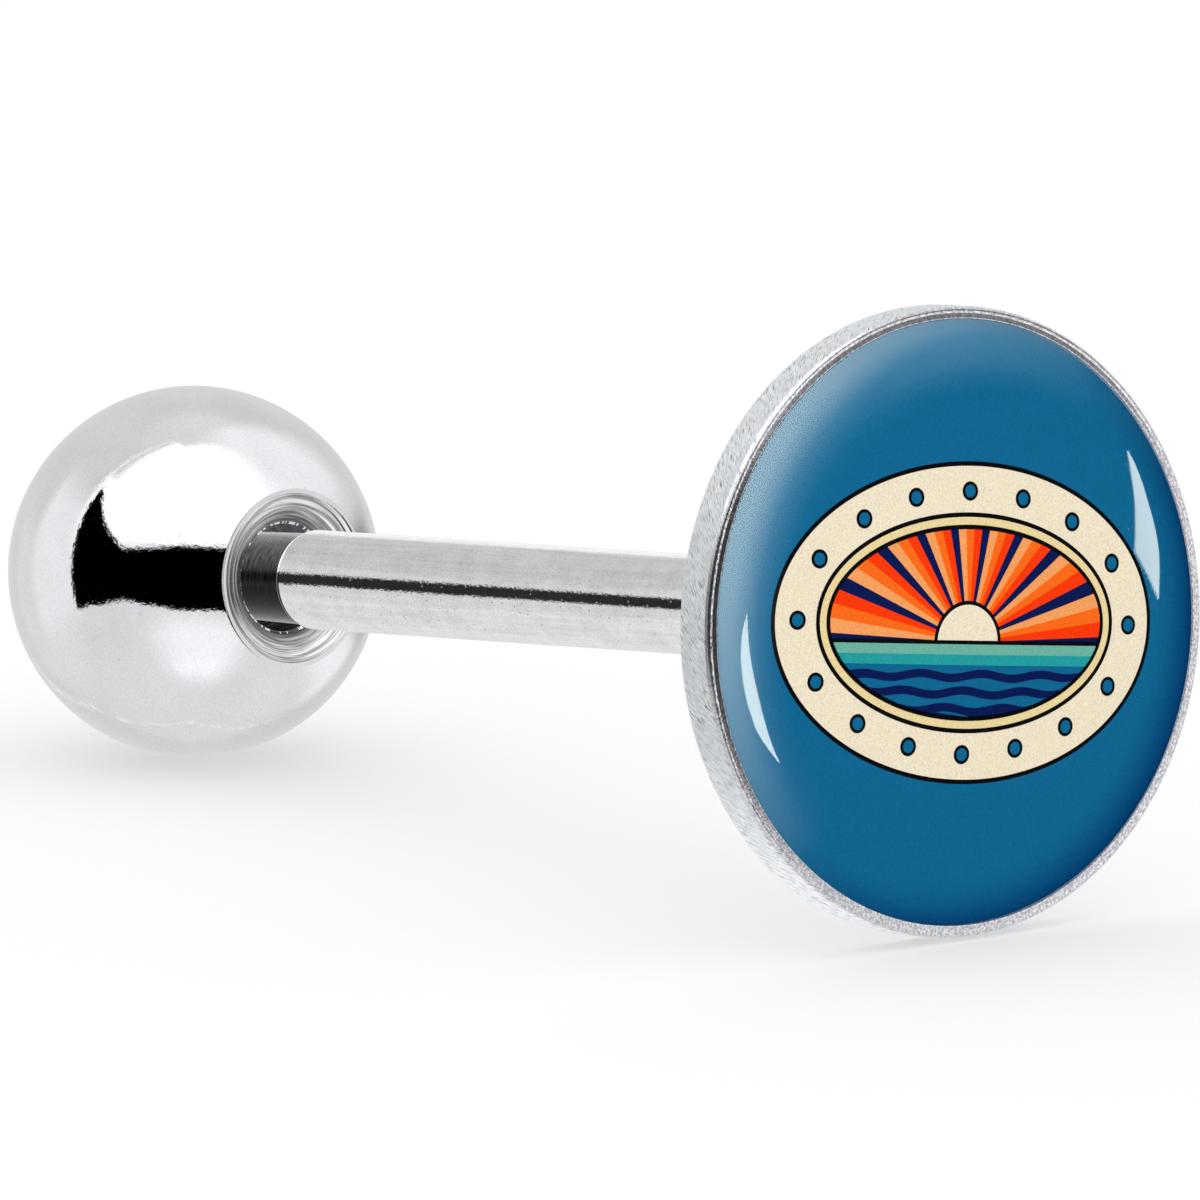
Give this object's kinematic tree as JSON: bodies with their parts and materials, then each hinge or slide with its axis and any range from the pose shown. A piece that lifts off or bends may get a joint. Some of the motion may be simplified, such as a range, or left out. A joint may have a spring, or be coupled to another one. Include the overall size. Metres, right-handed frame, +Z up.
{
  "type": "tongue barbell",
  "caption": "Straight steel tongue barbell with a screw-on ball at one end and a round cup at the other, holding a printed disc under a clear dome.",
  "frame": {"origin": "on the surface that the barbell lies on, under the middle of its box", "axes": "+X runs along the barbell from the ball to the domed cup, which lies 5.9 degrees higher; +Y is level across it; +Z is up"},
  "size_m": [0.0238, 0.01, 0.01],
  "materials": {
    "ball_steel": "mirror polished stainless steel with fine scratches and pits",
    "post_steel": "satin polished stainless steel with fine scratches",
    "print": "coloured print on a blue ground",
    "resin": "clear domed resin, glossy"
  },
  "bodies": {
    "bar": {"post_and_cup": "post_steel", "printed_disc": "print", "clear_dome": "resin"},
    "ball": {"ball": "ball_steel"}
  },
  "joints": [
    {"name": "ball_unscrew", "type": "slide", "parent": "bar", "child": "ball", "axis": [-0.9946, 0, -0.1034], "range_m": [0, 0.005]}
  ]
}
